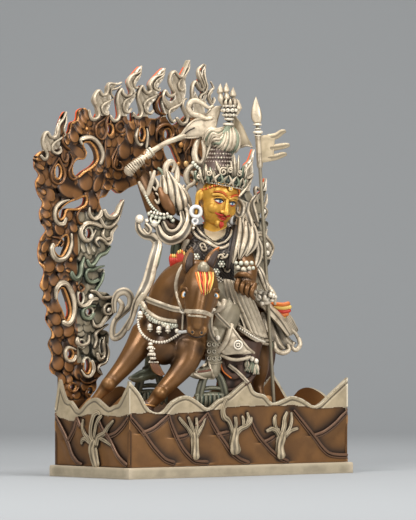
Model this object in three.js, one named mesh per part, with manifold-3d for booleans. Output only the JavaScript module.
// Cast and gilt statue of a crowned rider on horseback, before an arch of flames, on a mountain plinth.
// Millimetres, +Z up. The origin is the centre of the base plate's underside and the front faces -Y.
import * as THREE from 'three';
import { mergeVertices } from 'three/addons/utils/BufferGeometryUtils.js';
import Module from 'manifold-3d';

const wasm = await Module();
wasm.setup();

// Driving dimensions
const GAP = 0.3;
const PLATE = { length: 290, depth: 126, height: 11, bevel: 1 };
const PLINTH = { length: 282, depth: 118, wall: 3, deck: 62 };
const AUREOLE = { front: 59.3, back: 65 };
const FIGURE_TURN = THREE.MathUtils.degToRad(-39.4);
const FIGURE_SHIFT = [5, 6, 0];
const LANCE = { shaft: 1.9, foot: [72, 0, PLINTH.deck + GAP], top: [55, 4, 352], collars: [0.965, 0.985],
  pennon: 0.96, cloth: 2.8 };
const PENNON = [[0, 0], [0, -28], [15, -27], [27, -24], [28, -20], [16, -19], [32, -11], [32, -8],
  [16, -9], [27, 1], [26, 4], [14, -1]];

// Mountain rim of the plinth: along each side, the distance from its middle and the height
const FRONT_RIM = [[-141, 96], [-128, 84], [-116, 68], [-100, 65], [-86, 76], [-69, 81], [-54, 75],
  [-41, 68], [-28, 76], [-15, 80], [-3, 88], [10, 95], [17, 85], [23, 82], [32, 80], [42, 72], [56, 75],
  [68, 78.5], [82, 75], [99, 68], [118, 80], [141, 96]];
const LEFT_RIM = [[-59, 96], [-50, 84], [-42, 74], [-36, 72.5], [-26, 69.5], [-16, 74], [-5, 79], [8, 75],
  [21, 66], [30, 72], [34, 75], [41, 76], [47, 86], [52, 96], [56, 80], [59, 68]];
const BACK_RIM = [[-141, 68], [-134, 75], [-122, 75], [-104, 75], [-90, 72], [-72, 84], [-58, 88],
  [-40, 78], [-26, 72], [-10, 82], [8, 88], [24, 78], [40, 71], [58, 82], [74, 88], [92, 77], [108, 70],
  [126, 84], [141, 100]];
const RIGHT_RIM = [[-59, 96], [-48, 82], [-38, 71], [-20, 80], [-2, 85], [14, 82], [30, 71], [44, 84],
  [59, 100]];

// Mountain ridges on the plinth's faces: from the crest, sweeping down to the foot
const RIDGE = { radius: 1.7, proud: 0.5 };
const FRONT_RIDGES = [
  [[-138, 60], [-125, 44], [-108, 27], [-88, 16]],
  [[-104, 58], [-92, 40], [-76, 27], [-48, 17]],
  [[-104, 57], [-120, 49], [-128, 45]],
  [[-56, 60], [-48, 44], [-34, 28], [-14, 16]],
  [[-12, 62], [0, 44], [16, 28], [38, 16]],
  [[-14, 60], [-26, 48], [-36, 40]],
  [[40, 56], [50, 40], [62, 26], [84, 16]],
  [[86, 62], [98, 42], [116, 26], [138, 20]],
  [[136, 58], [120, 48], [104, 42]],
];
const LEFT_RIDGES = [
  [[56, 58], [44, 40], [26, 16]],
  [[22, 56], [12, 40], [-2, 26], [-14, 16]],
  [[-20, 58], [-36, 40], [-54, 24]],
];
const TREES = [
  { face: 'left', at: 4, foot: 18, top: 62 },
  { face: 'front', at: -60, foot: 18, top: 58 },
  { face: 'front', at: -8, foot: 22, top: 62 },
  { face: 'front', at: 48, foot: 18, top: 64 },
];
// A tree's branch tips: distance to the side, and share of its height
const TREE = {
  tips: [[-15, 0.86], [-7, 1], [2, 0.96], [10, 1], [16, 0.66]],
  trunk: 2.5,
  twig: 0.9,
  proud: 1.2,
};

// Flame aureole, drawn in its plane as [across, up]
const LEFT_OUTER = [[-142, 11.3], [-142, 60], [-141, 95], [-147, 107], [-144, 120], [-149, 131],
  [-144, 142], [-152, 155], [-150, 166], [-156, 174], [-154, 182], [-159, 189], [-154, 203], [-160, 212],
  [-162, 224], [-158, 236], [-152, 244], [-158, 252]];
const LEFT_UPPER = [[-160, 262], [-156, 271], [-162, 280], [-165, 291], [-161, 299], [-167, 307],
  [-166, 317], [-157, 323], [-146, 326], [-136, 332], [-127, 339], [-122, 342], [-119, 351], [-112, 354],
  [-110, 363], [-102, 366], [-96, 360], [-92, 353]];
const CROWN_EDGE = [[-78, 354], [-68, 351], [-60, 352], [-50, 357], [-40, 353], [-30, 353], [-20, 357],
  [-8, 357], [0, 362], [6, 354], [12, 350], [22, 355], [32, 362], [44, 362], [56, 358], [66, 348],
  [76, 342], [84, 332], [92, 320], [98, 304], [108, 294], [114, 282], [122, 272], [126, 258]];
const ARCH_INNER = [[60, 268], [52, 281], [40, 292], [24, 300], [10, 303], [-6, 300], [-20, 296],
  [-34, 291], [-48, 286], [-58, 281], [-68, 286], [-76, 278], [-84, 275]];
const LEFT_INNER = [[-80, 264], [-70, 258], [-60, 264], [-52, 275], [-56, 262], [-68, 248], [-60, 253],
  [-67, 240], [-78, 231], [-69, 231], [-78, 219], [-88, 212], [-86, 206], [-77, 205], [-82, 192],
  [-90, 187], [-84, 183], [-72, 181], [-64, 172], [-65, 161], [-74, 153], [-84, 146], [-72, 142],
  [-73, 127], [-78, 114], [-84, 109], [-80, 101], [-87, 95], [-88, 86], [-96, 76], [-92, 66], [-88, 58],
  [-88, 11.3]];
const mirrored = ([x, z]) => [2 - 0.86 * x, z];

const LARGE_HOLES = [
  [[-104, 330], [-97, 331], [-91, 326], [-88, 320], [-88, 314], [-94, 308], [-104, 303], [-112, 298],
    [-117, 301], [-117, 309], [-112, 314], [-103, 315], [-100, 322]],
  [[-102, 277], [-113, 274], [-123, 271], [-131, 266], [-136, 261], [-134, 256], [-130, 258], [-127, 265],
    [-119, 266], [-112, 266], [-103, 270]],
  [[-141, 226], [-138, 221], [-133, 219], [-129, 223], [-125, 231], [-126, 238], [-131, 236],
    [-136, 229]],
  [[-137, 176], [-135, 183], [-131, 186], [-127, 180], [-123, 170], [-122, 161], [-126, 155],
    [-130, 163]],
  [[-2, 328], [8, 330], [14, 321], [18, 312], [11, 309], [4, 314]],
];
// Small holes: [across, up, half width, half height]
const SMALL_HOLES = [[-137, 302, 3, 6], [-71, 345, 3, 5], [-119, 88, 3.2, 3.2], [-96, 84, 3.2, 3.2],
  [-122, 121, 3.2, 4], [-107, 131, 3, 3], [-97, 163, 3.5, 3], [-98, 241, 3.5, 5], [-100, 109, 3.4, 7],
  [-81, 128, 2.2, 7], [-108, 177, 2.6, 5], [-30, 341, 2.8, 6], [3, 341, 4, 5], [15, 360, 3, 4]];

// Raised flame strands: half width in the middle, then [across, up] points
const LEG_STRANDS = [
  [2.5, [[-119, 276], [-131, 273], [-138, 267], [-141, 260], [-138, 253], [-132, 251], [-127, 254]]],
  [2.7, [[-145, 229], [-144, 220], [-139, 215], [-131, 214], [-125, 220], [-121, 229], [-119, 237],
    [-116, 244]]],
  [2.6, [[-140, 176], [-138, 186], [-132, 190], [-124, 187], [-118, 179], [-117, 166], [-120, 153],
    [-127, 149], [-131, 153]]],
  [2.3, [[-79, 246], [-90, 249], [-98, 251], [-105, 248], [-107, 241], [-104, 234], [-97, 232],
    [-91, 236], [-89, 244]]],
  [2.2, [[-101, 216], [-98, 208], [-90, 208], [-86, 216], [-83, 222], [-77, 222], [-70, 230]]],
  [2.2, [[-119, 203], [-117, 197], [-111, 197], [-108, 204], [-105, 212], [-101, 218]]],
  [2.2, [[-80, 203], [-96, 203], [-101, 198], [-96, 192], [-87, 191], [-82, 194], [-78, 203]]],
  [2.3, [[-88, 171], [-97, 170], [-105, 166], [-106, 159], [-99, 155], [-92, 158], [-90, 164]]],
  [2.3, [[-99, 148], [-95, 139], [-97, 131], [-102, 126], [-109, 125], [-115, 130], [-113, 136],
    [-107, 136]]],
  [2.0, [[-121, 128], [-128, 125], [-128, 117], [-122, 114], [-116, 116], [-115, 124]]],
  [2.2, [[-76, 139], [-77, 129], [-76, 119], [-81, 114], [-86, 117], [-88, 124]]],
  [2.3, [[-92, 116], [-93, 105], [-99, 99], [-106, 102], [-107, 108]]],
];
const TOP_STRANDS = [
  [2.6, [[-107, 331], [-104, 336], [-98, 337], [-90, 335], [-85, 328], [-82, 320], [-84, 311]]],
  [2.0, [[-80, 263], [-73, 258], [-66, 261], [-62, 266], [-53, 274]]],
  [1.9, [[-98, 266], [-96, 258], [-90, 255], [-84, 259], [-82, 264]]],
  [1.9, [[-80, 245], [-77, 237], [-71, 238], [-70, 245], [-62, 252]]],
  [2.2, [[-36, 347], [-36, 338], [-31, 333], [-26, 338], [-25, 348]]],
  [2.4, [[-2, 346], [3, 350], [9, 346], [9, 338], [3, 334], [-3, 338], [-4, 326]]],
  [1.8, [[-115, 179], [-111, 171], [-106, 171], [-103, 180]]],
  [2.6, [[-90, 184], [-80, 177], [-71, 176], [-67, 168], [-70, 160], [-79, 156], [-90, 150]]],
  [1.8, [[-76, 150], [-86, 143], [-93, 139], [-92, 134], [-86, 133]]],
];
// Upright flames: the rim from root to tip, then the far edge from the tip back down
const FLAME = { proud: 1.5, hook: 1.9 };
const FLAMES = [
  [[[-159, 319], [-155, 315], [-153, 326], [-155, 337], [-151, 341], [-147, 336], [-142, 336],
    [-139, 345], [-135, 354], [-126, 362]], [[-127, 352], [-130, 345], [-127, 338], [-134, 328],
    [-148, 312], [-160, 312]]],
  [[[-98, 364], [-95, 356], [-88, 357], [-86, 365], [-91, 374], [-86, 382], [-82, 383], [-79, 378],
    [-74, 381], [-72, 389], [-58, 392]], [[-66, 386], [-69, 378], [-70, 370], [-78, 351], [-98, 351]]],
  [[[-70, 360], [-64, 354], [-59, 359], [-61, 374], [-58, 383], [-54, 386], [-50, 380], [-43, 382],
    [-47, 393], [-39, 402], [-30, 409]], [[-31, 399], [-38, 389], [-38, 378], [-46, 368], [-50, 350],
    [-70, 350]]],
  [[[-41, 362], [-35, 357], [-30, 364], [-34, 379], [-29, 390], [-24, 383], [-19, 384], [-19, 392],
    [-11, 400], [0, 408]], [[-1, 398], [-9, 388], [-10, 378], [-20, 368], [-22, 350], [-42, 351]]],
  [[[-2, 384], [3, 376], [10, 375], [13, 382], [8, 396], [14, 404], [20, 400], [26, 407], [32, 417]],
    [[31, 407], [27, 396], [28, 386], [24, 374], [12, 364], [0, 360], [-4, 372]]],
  [[[37, 358], [36, 376], [39, 385], [43, 380], [47, 377], [51, 382], [45, 391], [46, 398], [52, 412]],
    [[54, 397], [56, 384], [52, 372], [54, 358]]],
  [[[100, 292], [108, 298], [106, 310], [112, 316], [118, 328]], [[116, 314], [116, 302], [112, 286]]],
  [[[114, 262], [124, 268], [122, 280], [130, 286], [134, 298]], [[134, 284], [130, 270], [124, 256]]],
];
const FLAME_HOOKS = [
  [[-83, 373], [-80, 362], [-75, 359], [-72, 363]],
  [[-55, 374], [-52, 364], [-47, 361], [-43, 367]],
  [[-27, 374], [-23, 364], [-18, 360], [-14, 364]],
  [[17, 396], [20, 387], [26, 386]],
  [[11, 367], [5, 363], [7, 354], [13, 353]],
  [[17, 357], [23, 352], [29, 358], [22, 369], [28, 377], [32, 369]],
  [[-147, 332], [-145, 324], [-140, 322], [-135, 325]],
  [[49, 374], [50, 366], [54, 363]],
];

// Rider and horse. Their points are [across, out, up, radius] on axes turned by FIGURE_TURN:
// across runs right and out runs toward someone who stands before the plinth's front left corner.
const HORSE = {
  barrel: [[-34, 52, 142, 22], [-18, 34, 146, 25], [4, 8, 148, 26], [26, -20, 150, 25], [42, -40, 150, 24],
    [52, -50, 144, 14]],
  breast: [[-54, 50, 128, 16], [-37, 60, 127, 18], [-18, 60, 125, 16]],
  neck: [[-34, 44, 150, 25], [-35, 52, 170, 21], [-31, 58, 186, 18], [-21, 63, 197, 16], [-8, 72, 203, 13]],
  head: [[-1, 70, 205, 13], [-1, 79, 199, 18.5], [-2, 86, 185, 22], [-3, 91, 171, 20.5], [-4, 95, 156, 16],
    [-6, 98, 143, 12.5], [-6, 97, 137, 9]],
  farFore: [[-57, 44, 138, 16], [-66, 50, 124, 12.5], [-78, 54, 109, 10], [-92, 60, 93, 7.5],
    [-101, 62, 83, 6], [-107, 62, 74, 5.5], [-109, 61, 66, 7]],
  nearFore: [[-14, 56, 128, 17], [-16, 62, 113, 13], [-28, 68, 98, 9.5], [-43, 74, 82, 7], [-52, 76, 72, 6],
    [-56, 76, 65, 7]],
  nearHind: [[48, -30, 142, 20], [56, -26, 120, 13], [58, -26, 104, 8.5], [55, -28, 88, 6],
    [58, -24, 72, 5.5], [55, -20, 65, 7]],
  farHind: [[26, -50, 142, 19], [22, -48, 120, 12], [28, -56, 102, 8], [33, -60, 86, 6], [28, -57, 72, 5.5],
    [23, -53, 65, 7]],
  tail: [[50, -52, 160, 7], [60, -60, 158, 8], [68, -64, 140, 9], [68, -62, 116, 8], [64, -56, 100, 4]],
  mane: [[-20, 50, 214, 6], [-36, 42, 206, 6], [-50, 36, 188, 6], [-54, 32, 168, 5]],
};
const EARS = [
  [[-14, 76, 201, 6], [-15, 77, 213, 6.5], [-11, 75, 228, 1.5]],
  [[8, 76, 205, 6], [13, 76, 215, 6.5], [17, 74, 227, 1.5]],
];
const RIDER = {
  torso: [[14, 0, 176, 22], [12, 6, 202, 20], [10, 12, 222, 22], [10, 15, 238, 15]],
  neck: [[11, 16, 236, 10], [13, 20, 256, 10]],
  rightUpperArm: [[-10, 12, 238, 12], [-28, 16, 244, 12], [-45, 18, 256, 10]],
  rightForearm: [[-44, 18, 256, 9], [-52, 16, 278, 8], [-61, 12, 298, 7], [-65, 10, 308, 8],
    [-66, 9, 316, 7]],
  leftUpperArm: [[28, 14, 236, 13], [38, 20, 224, 13], [46, 28, 208, 10]],
  leftForearm: [[46, 28, 208, 9], [46, 38, 198, 8], [44, 46, 190, 9], [38, 50, 186, 6]],
  saddle: [[-16, 34, 162, 22], [4, 8, 170, 22], [28, -22, 172, 20]],
  nearThigh: [[16, 12, 182, 16], [28, 30, 168, 14], [22, 46, 150, 12], [12, 52, 134, 9.5]],
  nearBoot: [[12, 52, 138, 9], [11, 52, 120, 8.5], [10, 52, 104, 8], [0, 58, 102, 7], [-10, 63, 99, 4]],
  farThigh: [[4, 2, 182, 16], [-24, 8, 168, 14], [-42, 18, 150, 11], [-47, 22, 134, 9]],
  farBoot: [[-47, 22, 138, 9], [-49, 22, 120, 8.5], [-51, 24, 102, 8], [-61, 32, 98, 7], [-71, 38, 94, 4]],
};
const HEAD = { at: [15, 22, 275], radii: [21, 23, 27], lean: THREE.MathUtils.degToRad(11) };
// Sleeves, skirt and scarves: [radius at the middle, flatness, points]
const FOLDS = [
  [8, 0.6, [[-22, 12, 242], [-28, 6, 264], [-30, 4, 286], [-26, 0, 306]]],
  [7, 0.6, [[-34, 14, 250], [-40, 6, 274], [-40, 2, 302]]],
  [7, 0.6, [[-12, 10, 244], [-18, 4, 264], [-20, 0, 288]]],
  [6, 0.7, [[-10, 22, 244], [-28, 28, 236], [-48, 26, 234], [-62, 20, 242], [-64, 16, 256]]],
  [6, 0.7, [[-44, 24, 236], [-50, 30, 216], [-54, 34, 198], [-58, 34, 180]]],
  [6, 0.8, [[-54, 46, 160], [-76, 37, 142], [-88, 32, 136], [-89, 32, 148], [-80, 32, 160],
    [-72, 32, 174], [-78, 32, 184], [-87, 32, 176]]],
  [10, 0.6, [[22, 22, 190], [30, 34, 170], [36, 40, 146]]],
  [10, 0.6, [[28, 16, 190], [42, 26, 168], [50, 30, 142]]],
  [10, 0.6, [[32, 6, 190], [52, 12, 168], [64, 14, 138]]],
  [10, 0.6, [[32, -4, 188], [60, 0, 164], [78, -2, 140]]],
  [10, 0.6, [[34, -10, 186], [64, -10, 164], [94, -14, 142]]],
  [7, 0.7, [[58, 0, 150], [78, -6, 144], [98, -10, 134]]],
  [8, 0.7, [[46, 30, 196], [58, 32, 182], [74, 26, 172]]],
  [8, 0.7, [[50, 14, 182], [68, 8, 168], [86, 0, 158]]],
  [5, 0.7, [[2, 10, 340], [-8, 10, 330], [-8, 10, 316], [0, 12, 312], [6, 14, 322]]],
];
const BOW_CASE = [[15, 124], [17, 131], [29, 150], [35, 147], [52, 124], [50, 117], [30, 116]];
const BLANKET = [[14, 140], [10, 112], [20, 92], [34, 90], [48, 98], [52, 120], [46, 142]];
const BANNER = [[-12, 344], [-2, 352], [12, 371], [26, 364], [36, 358], [46, 344], [52, 328], [44, 328],
  [30, 321], [20, 334], [4, 338]];
const WHIP = [[-73, 14, 303, 4.2], [-52, 14, 322, 3.4], [-50, 14, 324, 2.6], [-21, 12, 338, 2.2],
  [-10, 11, 345, 5], [2, 10, 352, 6]];
// Thin cloths are plates between two distances out
const CLOTH_DEPTHS = { bowCase: [46, 58], blanket: [30, 40], banner: [8, 12] };
// Closed fist, then jewels, shoulder knot, boss between the ears and collar: [across, out, up, half sizes]
const FIST = [-65, 12, 308, 9, 9, 10];
const JEWELS = [[42, 30, 206, 7, 6, 5], [-48, 24, 258, 12, 11, 5], [1, 92, 207, 5, 6, 5],
  [10, 26, 236, 20, 12, 9]];
const TASSEL = [[-52, 66, 130, 4], [-48, 68, 118, 5], [-42, 70, 102, 2]];
// Stirrups: the middle of each tread, and half its width, its posts' bend and its eye above
const STIRRUPS = [[9, 52, 79], [-52, 24, 82]];
const STIRRUP = { half: 16, foot: 13, shoulder: [8, 20], eye: 26, bar: 3, tread: 5, skew: 0.4 };
// On the head, in its own axes: ears and ear rings on both sides, nose and chin, all with half sizes
const EAR = { out: 0.98, at: [3, 2], size: [4, 4, 9] };
const EAR_RING = { out: 1.05, at: [1, -14], size: [6, 3, 7] };
const NOSE = { at: [10, -0.92, -4], size: [3.4, 5, 7] };
const CHIN = { at: [9, -0.72, -20], size: [8, 7, 6] };
const CROWN_LEAVES = { count: 7, from: -90, to: 130, radius: 22, foot: 8, height: 22, width: 6.5 };
// Helmet, plume, ringed stem and ornate cap, then the buds that stand on the cap
const HAT = [[15, 20, 290, 21], [16.5, 18, 303, 19], [17, 17, 315, 12.5], [17.5, 16, 323, 9],
  [18, 16, 329, 17], [18.5, 16, 335, 19], [20, 16, 344, 15], [25, 15, 350, 5.5], [28, 15, 357, 6],
  [28, 15, 363, 9], [27, 15, 373, 7.5]];
const BUDS = [[17, 385], [24, 387], [31, 384], [38, 370]];

// Turns a closed geometry into a solid
function solid(geometry) {
  const bare = geometry.clone();
  bare.deleteAttribute('normal');
  bare.deleteAttribute('uv');
  const merged = mergeVertices(bare, 1e-4);
  return new wasm.Manifold(new wasm.Mesh({
    numProp: 3,
    vertProperties: new Float32Array(merged.attributes.position.array),
    triVerts: new Uint32Array(merged.index.array),
  }));
}

// One named mesh from a solid that must be in one piece; a hollow closed off inside is filled
function pieceOf(name, body, material) {
  const parts = body.decompose().filter((part) => part.volume() > 0.01);
  if (parts.length !== 1) {
    const spans = parts.map((part) => JSON.stringify(part.boundingBox()));
    throw new Error(`${name} is in ${parts.length} pieces: ${spans.join(' ')}`);
  }
  const { vertProperties, triVerts } = parts[0].getMesh();
  const geometry = new THREE.BufferGeometry();
  geometry.setAttribute('position', new THREE.BufferAttribute(vertProperties, 3));
  geometry.setIndex(new THREE.BufferAttribute(triVerts, 1));
  geometry.computeVertexNormals();
  const mesh = new THREE.Mesh(geometry, material);
  mesh.name = name;
  return mesh;
}

const joined = (bodies) => bodies.reduce((whole, body) => whole.add(body));

function box(x0, x1, y0, y1, z0, z1) {
  const geometry = new THREE.BoxGeometry(x1 - x0, y1 - y0, z1 - z0);
  geometry.translate((x0 + x1) / 2, (y0 + y1) / 2, (z0 + z1) / 2);
  return solid(geometry);
}

function ball(centre, halfSizes, detail = 0) {
  const geometry = new THREE.IcosahedronGeometry(1, detail);
  geometry.scale(...halfSizes);
  geometry.translate(...centre);
  return solid(geometry);
}

const ALONG_X = new THREE.Vector3(1, 0, 0);
const ALONG_Z = new THREE.Vector3(0, 0, 1);
const sideways = (tangent) => (Math.abs(tangent.z) > 0.7 ? ALONG_X : ALONG_Z);

// A tapered, blunt-ended limb through points [x, y, z, radius]; flat thins it along face
function limb(points, { sides = 6, flat = 1, face = null } = {}) {
  const places = points.map(([x, y, z]) => new THREE.Vector3(x, y, z));
  const path = new THREE.CatmullRomCurve3(places, false, 'centripetal');
  const radii = new THREE.CatmullRomCurve3(points.map((point) => new THREE.Vector3(point[3], 0, 0)));
  const count = points.length - 1;
  const positions = [];
  let across = new THREE.Vector3();
  for (let i = 0; i <= count; i += 1) {
    const along = i / count;
    const centre = path.getPoint(along);
    const tangent = path.getTangent(along);
    const radius = radii.getPoint(along).x;
    if (face) across.crossVectors(tangent, face).normalize();
    else if (i === 0) across.crossVectors(tangent, sideways(tangent)).normalize();
    else across.addScaledVector(tangent, -across.dot(tangent)).normalize();
    const up = new THREE.Vector3().crossVectors(across, tangent).normalize();
    if (i === 0) positions.push(centre.clone().addScaledVector(tangent, -0.6 * radius * flat));
    for (let k = 0; k < sides; k += 1) {
      const angle = Math.PI / 2 + (2 * Math.PI * k) / sides;
      positions.push(centre.clone().addScaledVector(across, radius * Math.cos(angle))
        .addScaledVector(up, radius * flat * Math.sin(angle)));
    }
    if (i === count) positions.push(centre.clone().addScaledVector(tangent, 0.6 * radius * flat));
  }
  const index = [];
  const last = positions.length - 1;
  for (let k = 0; k < sides; k += 1) {
    const next = (k + 1) % sides;
    index.push(0, 1 + k, 1 + next);
    index.push(last, last - sides + next, last - sides + k);
    for (let i = 0; i < count; i += 1) {
      const a = 1 + i * sides + k;
      const b = 1 + i * sides + next;
      index.push(a, a + sides, b, b, a + sides, b + sides);
    }
  }
  const geometry = new THREE.BufferGeometry().setFromPoints(positions);
  geometry.setIndex(index);
  const body = solid(geometry);
  return body.volume() > 0 ? body : solid(flipped(geometry));
}

function flipped(geometry) {
  const turned = geometry.clone();
  const order = turned.index.array;
  for (let i = 0; i < order.length; i += 3) [order[i], order[i + 1]] = [order[i + 1], order[i]];
  return turned;
}

// A flat outline of [x, z] points as a plate from y0 to y1
function plate(outline, y0, y1) {
  const shape = new THREE.Shape(outline.map(([x, z]) => new THREE.Vector2(x, z)));
  const geometry = new THREE.ExtrudeGeometry(shape, { depth: y1 - y0, bevelEnabled: false });
  geometry.rotateX(Math.PI / 2);
  geometry.translate(0, y1, 0);
  return solid(geometry);
}

const swell = (t, ends = 0.45) => ends + (1 - ends) * Math.sin(Math.PI * Math.min(Math.max(t, 0), 1)) ** 0.5;

// A half-round strand laid on the aureole's front, thin at both ends
function strand([halfWidth, outline]) {
  const last = outline.length - 1;
  const points = outline.map(([x, z], i) => [x, AUREOLE.front + 0.4, z, halfWidth * swell(i / last)]);
  return limb(points, { sides: 3, face: NORMALS.front });
}

// The rim of one plinth side: an outline from the deck's middle up to the mountains
function rimWall(rim, thickness) {
  const foot = PLATE.height + GAP;
  const ends = [[rim[rim.length - 1][0], foot], [rim[0][0], foot]];
  return plate([...rim, ...ends].reverse(), 0, thickness);
}

function plinthSide(rim, turn, x, y) {
  return rimWall(rim, PLINTH.wall).rotate([0, 0, turn]).translate([x, y, 0]);
}

// Outward directions of the faces that carry relief
const NORMALS = { front: new THREE.Vector3(0, -1, 0), left: new THREE.Vector3(-1, 0, 0) };
const half = { x: PLINTH.length / 2, y: PLINTH.depth / 2 };

// A point on a plinth face, a little proud of it
function onFace(face, along, up, out) {
  return face === 'front' ? [along, -half.y - out, up] : [-half.x - out, along, up];
}

function ridge(face, points) {
  const sunk = RIDGE.proud - RIDGE.radius / 2;
  const route = points.map(([along, up]) => [...onFace(face, along, up, sunk), RIDGE.radius]);
  return limb(route, { sides: 3, face: NORMALS[face] });
}

// A bare tree in relief: a trunk that spreads into branches
function tree({ face, at, foot, top }) {
  const { tips, trunk, twig, proud } = TREE;
  const height = top - foot;
  const fork = foot + 0.5 * height;
  const branches = tips.flatMap(([along, share], i) => {
    const up = foot + share * height;
    const tip = [[along - twig, up], [along + twig, up]];
    const next = tips[i + 1];
    return next ? [...tip, [0.25 * (along + next[0]), fork]] : tip;
  });
  const collar = foot + 0.3 * height;
  const outline = [[-trunk, foot], [-trunk, collar], ...branches, [trunk, collar], [trunk, foot]];
  const relief = plate(outline.reverse(), -proud, proud);
  if (face === 'front') return relief.translate([at, -half.y, 0]);
  return relief.rotate([0, 0, 90]).translate([-half.x, at, 0]);
}

function basePlate() {
  const { length, depth, height, bevel } = PLATE;
  const shape = new THREE.Shape([[-1, -1], [1, -1], [1, 1], [-1, 1]].map(([x, y]) => (
    new THREE.Vector2(x * (length / 2 - bevel), y * (depth / 2 - bevel)))));
  const geometry = new THREE.ExtrudeGeometry(shape, { depth: height - bevel, bevelSize: bevel,
    bevelThickness: bevel, bevelSegments: 1 });
  const upper = solid(geometry);
  return upper.intersect(box(-length, length, -depth, depth, 0, 2 * height));
}

function plinth() {
  const foot = PLATE.height + GAP;
  const core = box(-half.x, half.x, -half.y, half.y, foot, PLINTH.deck);
  const sides = [plinthSide(FRONT_RIM, 0, 0, -half.y), plinthSide(BACK_RIM, 0, 0, half.y - PLINTH.wall),
    plinthSide(LEFT_RIM, 90, -half.x + PLINTH.wall, 0), plinthSide(RIGHT_RIM, 90, half.x, 0)];
  const ridges = [...FRONT_RIDGES.map((points) => ridge('front', points)),
    ...LEFT_RIDGES.map((points) => ridge('left', points))];
  return joined([core, ...sides, ...ridges, ...TREES.map(tree)]);
}

function aureole() {
  const legOuter = [...LEFT_OUTER, ...LEFT_UPPER];
  const rightOuter = LEFT_OUTER.map(mirrored).reverse();
  const rightInner = LEFT_INNER.map(mirrored).reverse();
  const outline = [...legOuter, ...CROWN_EDGE, ...rightOuter, ...rightInner, ...ARCH_INNER, ...LEFT_INNER];
  const { front, back } = AUREOLE;
  const sheets = FLAMES.map(([rim, edge]) => plate([...rim, ...edge], front - FLAME.proud, back));
  const rightStrands = LEG_STRANDS.slice(0, 3).map(([width, points]) => [width, points.map(mirrored)]);
  const strands = [...LEG_STRANDS, ...rightStrands,
    ...TOP_STRANDS, ...FLAME_HOOKS.map((points) => [FLAME.hook, points])];
  const holes = [...LARGE_HOLES, ...LARGE_HOLES.slice(1, 4).map((hole) => hole.map(mirrored)),
    ...SMALL_HOLES.map(([x, z, rx, rz]) => Array.from({ length: 6 }, (_, k) => (
      [x + rx * Math.cos((k * Math.PI) / 3), z + rz * Math.sin((k * Math.PI) / 3)])))];
  const pierced = holes.reduce((body, hole) => body.subtract(plate(hole, front - 9, back + 9)),
    joined([plate(outline, front, back), ...sheets]));
  return joined([pierced, ...strands.map(strand)]);
}

// Figure points have their depth turned from out to away
const placed = (points) => points.map(([across, out, up, radius]) => [across, -out, up, radius]);

function fold([radius, flat, points]) {
  const last = points.length - 1;
  const route = placed(points).map((point, i) => [...point.slice(0, 3), radius * swell(i / last)]);
  return limb(route, { sides: 4, flat, face: new THREE.Vector3(0.3, 0.95, 0.1) });
}

function crown() {
  const { count, from, to, radius, foot, height, width } = CROWN_LEAVES;
  return Array.from({ length: count }, (_, i) => {
    const angle = THREE.MathUtils.degToRad(from + ((to - from) * i) / (count - 1));
    const x = radius * Math.sin(angle);
    const y = -radius * Math.cos(angle);
    const route = [[0.85 * x, 0.85 * y, foot, width], [1.12 * x, 1.12 * y, foot + height, 1]];
    return limb(route, { sides: 4, flat: 0.5, face: new THREE.Vector3(x, y, 0).normalize() });
  });
}

// Leaning head with its crown, under the helmet, plume, cap and buds
function headpiece() {
  const [rx, ry, rz] = HEAD.radii;
  const beside = [EAR, EAR_RING].flatMap(({ out, at, size }) => (
    [-1, 1].map((side) => ball([side * rx * out, ...at], size))));
  const features = [NOSE, CHIN].map(({ at: [x, share, z], size }) => ball([x, ry * share, z], size));
  const head = joined([ball([0, 0, 0], [rx, ry, rz], 1), ...beside, ...features, ...crown()]);
  const [across, out, up] = HEAD.at;
  const leaning = head.rotate([0, THREE.MathUtils.radToDeg(HEAD.lean), 0]).translate([across, -out, up]);
  const [capAcross, capOut, capUp] = HAT[HAT.length - 1];
  const buds = BUDS.map(([x, top]) => {
    const foot = [0.5 * (x + capAcross), capOut, Math.min(capUp, top - 8), 2];
    return limb(placed([foot, [x, capOut, top - 6, 3.4], [x, capOut, top, 0.8]]), { sides: 5 });
  });
  return joined([leaning, limb(placed(HAT), { sides: 8 }), ...buds]);
}

// A stirrup: tread, two posts and the eye above
function stirrup([across, out, up]) {
  const { half: reach, foot, shoulder: [x, z], eye, bar, tread, skew } = STIRRUP;
  const at = (dx, dz, radius) => [across + dx, -out + skew * dx, up + dz, radius];
  const posts = [-1, 1].map((side) => (
    limb([at(foot * side, 0, bar), at(x * side, z, bar), at(0, eye, tread - 1)], { sides: 4 })));
  const base = limb([at(-reach, 0, tread - 1), at(0, -1, tread), at(reach, 0, tread - 1)], { sides: 5 });
  return joined([base, ...posts]);
}

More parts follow.
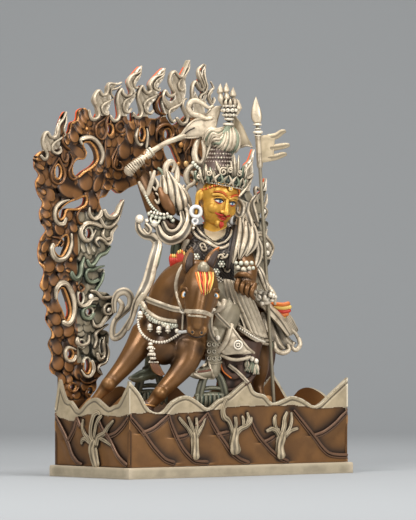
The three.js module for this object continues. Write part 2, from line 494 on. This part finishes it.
function lance() {
  const [footX, footOut, footUp] = LANCE.foot;
  const [topX, topOut, topUp] = LANCE.top;
  const at = (t, radius) => [footX + (topX - footX) * t, -(footOut + (topOut - footOut) * t),
    footUp + (topUp - footUp) * t, radius];
  const shaft = limb([at(0, LANCE.shaft), at(0.5, LANCE.shaft), at(1, LANCE.shaft)], { sides: 8 });
  const leaf = [at(0.99, 3), at(1.02, 6), at(1.045, 4), at(1.09, 0.6)];
  const blade = limb(leaf, { sides: 8, flat: 0.6, face: NORMALS.front });
  const collars = LANCE.collars.map((t) => ball(at(t).slice(0, 3), [5, 5, 3]));
  const [x, y, z] = at(LANCE.pennon);
  const half = LANCE.cloth / 2;
  const pennon = plate(PENNON.map(([dx, dz]) => [x + dx, z + dz]).reverse(), y - half, y + half);
  return joined([shaft.trimByPlane([0, 0, 1], footUp), blade, pennon, ...collars]);
}

function figures(lanceRoom) {
  const tubes = (group, options) => Object.values(group).map((points) => limb(placed(points), options));
  const ears = EARS.map((points) => limb(placed(points), { sides: 4 }));
  const { bowCase, blanket, banner } = CLOTH_DEPTHS;
  const cloth = (outline, [near, far]) => plate(outline.slice().reverse(), -far, -near);
  const cloths = [cloth(BOW_CASE, bowCase), cloth(BLANKET, blanket), cloth(BANNER, banner)];
  const whip = limb(placed(WHIP), { sides: 6, flat: 0.8, face: NORMALS.front });
  const knobs = [FIST, ...JEWELS].map(([across, out, up, ...size]) => ball([across, -out, up], size));
  const tassel = limb(placed(TASSEL));
  const body = joined([...tubes(HORSE, { sides: 7 }), ...ears, ...tubes(RIDER, { sides: 6 }),
    ...FOLDS.map(fold), ...cloths, whip, ...knobs, tassel, ...STIRRUPS.map(stirrup), headpiece()]);
  return body.trimByPlane([0, 0, 1], PLINTH.deck + GAP).subtract(lanceRoom);
}

const finish = (color, roughness) => new THREE.MeshStandardMaterial({ color, roughness, metalness: 0.6 });
const materials = {
  silver: finish(0xb9b09c, 0.5),
  bronze: finish(0x6e3f22, 0.5),
  darkBronze: finish(0x7a4a2a, 0.45),
};

const statue = new THREE.Group();
const figureFrame = new THREE.Group();
figureFrame.rotation.z = FIGURE_TURN;
figureFrame.position.set(...FIGURE_SHIFT);

const lanceBody = lance();
const room = LANCE.shaft + 2 * GAP;
const [footX, footOut, footUp] = LANCE.foot;
const [topX, topOut, topUp] = LANCE.top;
const lanceRoom = limb([[footX, -footOut, footUp - 4, room], [topX, -topOut, topUp, room]], { sides: 8 });

statue.add(pieceOf('base_plate', basePlate(), materials.silver));
statue.add(pieceOf('plinth', plinth(), materials.bronze));
statue.add(pieceOf('flame_aureole', aureole(), materials.bronze));
figureFrame.add(pieceOf('horse_and_rider', figures(lanceRoom), materials.darkBronze));
figureFrame.add(pieceOf('lance', lanceBody, materials.silver));
statue.add(figureFrame);

export default statue;
